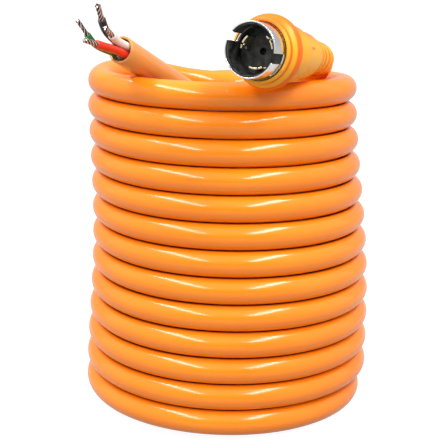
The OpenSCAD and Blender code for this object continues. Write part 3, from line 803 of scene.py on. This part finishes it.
# -------------------------------------------------------- curved blades ----
# Three blades bent from nickel-plated brass strip to the curve of one circle.
# Each has a locking notch in one side, a narrow gap in its front edge and a
# stem that goes back through the carrier.
blade_r_out, blade_r_in, blade_half = 0.0169, 0.0151, 24
notch_from, notch_to, stem_from = 0.0166, 0.0211, 0.0452
blade_depths = np.array([0.0126, 0.0130, 0.0146, notch_from, notch_to, 0.030, 0.040, stem_from,
                         0.0492])
plated_brass = mottled_material(
    "plated_brass", (0.86, 0.76, 0.55), (0.62, 0.47, 0.24), clouds=(400, 0.6),
    gloss=(0.14, 0.30), grain=(2500, 0.05), Metallic=1.0)


# Whether a place on the strip is metal, not the notch, the gap or the space
# beside the stem.
def blade_metal(angle, depth):
    notch = angle > blade_half - 7 and notch_from < depth < notch_to
    gap = 6 < angle < 12 and depth < notch_from
    beside_stem = abs(angle) > 14 and depth > stem_from
    return not (notch or gap or beside_stem)


def curved_blade(name, middle):
    angles = np.linspace(-blade_half, blade_half, 33)
    around = np.radians(angles + middle)
    points = [[r * math.cos(a), r * math.sin(a), -d]
              for r in (blade_r_out, blade_r_in) for d in blade_depths for a in around]
    rows, cols = len(blade_depths), len(angles)
    inner = rows * cols
    middles = (angles[1:] + angles[:-1]) / 2
    mid_depths = (blade_depths[1:] + blade_depths[:-1]) / 2
    metal = {(i, k) for i in range(rows - 1) for k in range(cols - 1)
             if blade_metal(middles[k], mid_depths[i])}
    faces = []
    for i, k in sorted(metal):
        a, b, c, d = i * cols + k, i * cols + k + 1, (i + 1) * cols + k + 1, (i + 1) * cols + k
        faces += [(d, c, b, a), (a + inner, b + inner, c + inner, d + inner)]
        for (u, v), near in (((a, b), (i - 1, k)), ((b, c), (i, k + 1)),
                             ((c, d), (i + 1, k)), ((d, a), (i, k - 1))):
            if near not in metal:
                faces.append((v + inner, u + inner, u, v))
    blade = make_piece(name, at_plug(points), faces, plated_brass, 40)
    soft_edge = blade.modifiers.new("edge", "BEVEL")
    soft_edge.width = 0.00025
    soft_edge.segments = 2
    soft_edge.limit_method = "ANGLE"
    return blade


for label, middle in (("x", 150), ("y", 30), ("neutral", 270)):
    blade = curved_blade("curved_blade_" + label, middle)
    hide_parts("blade_" + label)


# ------------------------------------------------------ hidden hardware ----
# Inside the grip: zinc-plated screws, ground strap and cord clamp, crimp
# barrels of the blades' brass, and the ends of the four wires.
zinc = mottled_material(
    "zinc_plate", (0.72, 0.72, 0.70), (0.5, 0.5, 0.48), clouds=(300, 0.5),
    gloss=(0.25, 0.4), grain=(2000, 0.05), Metallic=1.0)
for node in ("carrier_screws", "ground_strap", "cord_clamp"):
    dress(node, zinc)
dress("crimp_barrels", plated_brass)
for tone in wire_looks:
    dress("tail_" + tone, cover_looks[tone])


# ------------------------------------------------------------- table top ----
# A plain white paper sweep: flat under the cord and rising in a soft curve
# far behind it. It shines white to the eye and half as much in reflections,
# and otherwise throws little light back.
sweep = [(-6, 0), (3.0, 0), (3.6, 0.06), (4.1, 0.25), (4.5, 0.6), (4.7, 1.1), (4.75, 5)]
sweep_half = 8
sweep_mesh = bpy.data.meshes.new("table_top")
sweep_mesh.from_pydata([(x, y, z) for y, z in sweep for x in (-sweep_half, sweep_half)], [],
                       [(2 * i, 2 * i + 1, 2 * i + 3, 2 * i + 2) for i in range(len(sweep) - 1)])
sweep_mesh.polygons.foreach_set("use_smooth", [True] * len(sweep_mesh.polygons))
table_top = bpy.data.objects.new("table_top", sweep_mesh)
scene.collection.objects.link(table_top)
white_paper = bpy.data.materials.new("white_paper")
white_paper.use_nodes = True
paper = white_paper.node_tree
shader = paper.nodes["Principled BSDF"]
for label, value in (("Base Color", (0.26, 0.26, 0.26, 1)), ("Roughness", 0.9),
                     ("Specular IOR Level", 0.1), ("Emission Color", (1, 1, 1, 1))):
    shader.inputs[label].default_value = value
ray = paper.nodes.new("ShaderNodeLightPath").outputs
half_seen = reckon(paper, "MULTIPLY", ray["Is Glossy Ray"], 0.45)
seen = reckon(paper, "MAXIMUM", ray["Is Camera Ray"], half_seen)
seen = reckon(paper, "MAXIMUM", seen, ray["Is Transmission Ray"])
feed(paper, shader.inputs["Emission Strength"], ramp(paper, seen, at_high=0.93))
sweep_mesh.materials.append(white_paper)


# ---------------------------------------------------------- studio light ----
# Soft white light from overhead and from both sides. The eye sees a white
# room; reflections see one that is dark low down on the camera's side, so
# that the gloss of the jacket stays clear.
world = bpy.data.worlds.new("studio")
scene.world = world
world.use_nodes = True
studio = world.node_tree
ambient = studio.nodes["Background"].inputs
ambient["Color"].default_value = (1, 1, 1, 1)
toward = studio.nodes.new("ShaderNodeSeparateXYZ")
feed(studio, toward.inputs["Vector"], studio.nodes.new("ShaderNodeTexCoord").outputs["Generated"])
toward_x, toward_y, toward_z = toward.outputs
overhead = ramp(studio, toward_z, 0.0, 0.9, 0.0, 1.2)
beside = ramp(studio, reckon(studio, "ABSOLUTE", toward_x), 0.55, 0.95, 0.0, 0.95)
cast = reckon(studio, "MAXIMUM", overhead, beside)
behind = ramp(studio, toward_y, -0.95, -0.45, 0.15, 1.0)
room = reckon(studio, "MAXIMUM", behind, ramp(studio, toward_z, 0.1, 0.7))
ray = studio.nodes.new("ShaderNodeLightPath").outputs
mirrored = ramp(studio, ray["Is Glossy Ray"], at_low=1.0, at_high=room)
seen = reckon(studio, "MAXIMUM", ray["Is Camera Ray"], ray["Is Glossy Ray"])
seen = reckon(studio, "MAXIMUM", seen, ray["Is Transmission Ray"])
feed(studio, ambient["Strength"], ramp(studio, seen, at_low=cast, at_high=mirrored))


# ----------------------------------------------------------------- lamps ----
# Two long narrow soft lamps hung over the cord, left and right of it, that
# run from beside the camera back over the coil. They make the two streaks.
lamp_z, lamp_width, lamp_tilt_over = 1.65, 0.26, 1.45
for label, x, y, length, watts in (("left", -0.88, -1.0, 3.4, 41), ("right", 0.84, -1.2, 2.2, 35)):
    lamp = bpy.data.lights.new(label + "_lamp", "AREA")
    lamp.shape = "RECTANGLE"
    lamp.size, lamp.size_y = lamp_width, length
    lamp.energy = watts
    holder = bpy.data.objects.new(label + "_lamp", lamp)
    scene.collection.objects.link(holder)
    holder.visible_camera = False
    holder.location = (x, y, lamp_z)
    holder.rotation_euler = (0, math.atan2(x, lamp_tilt_over), 0)
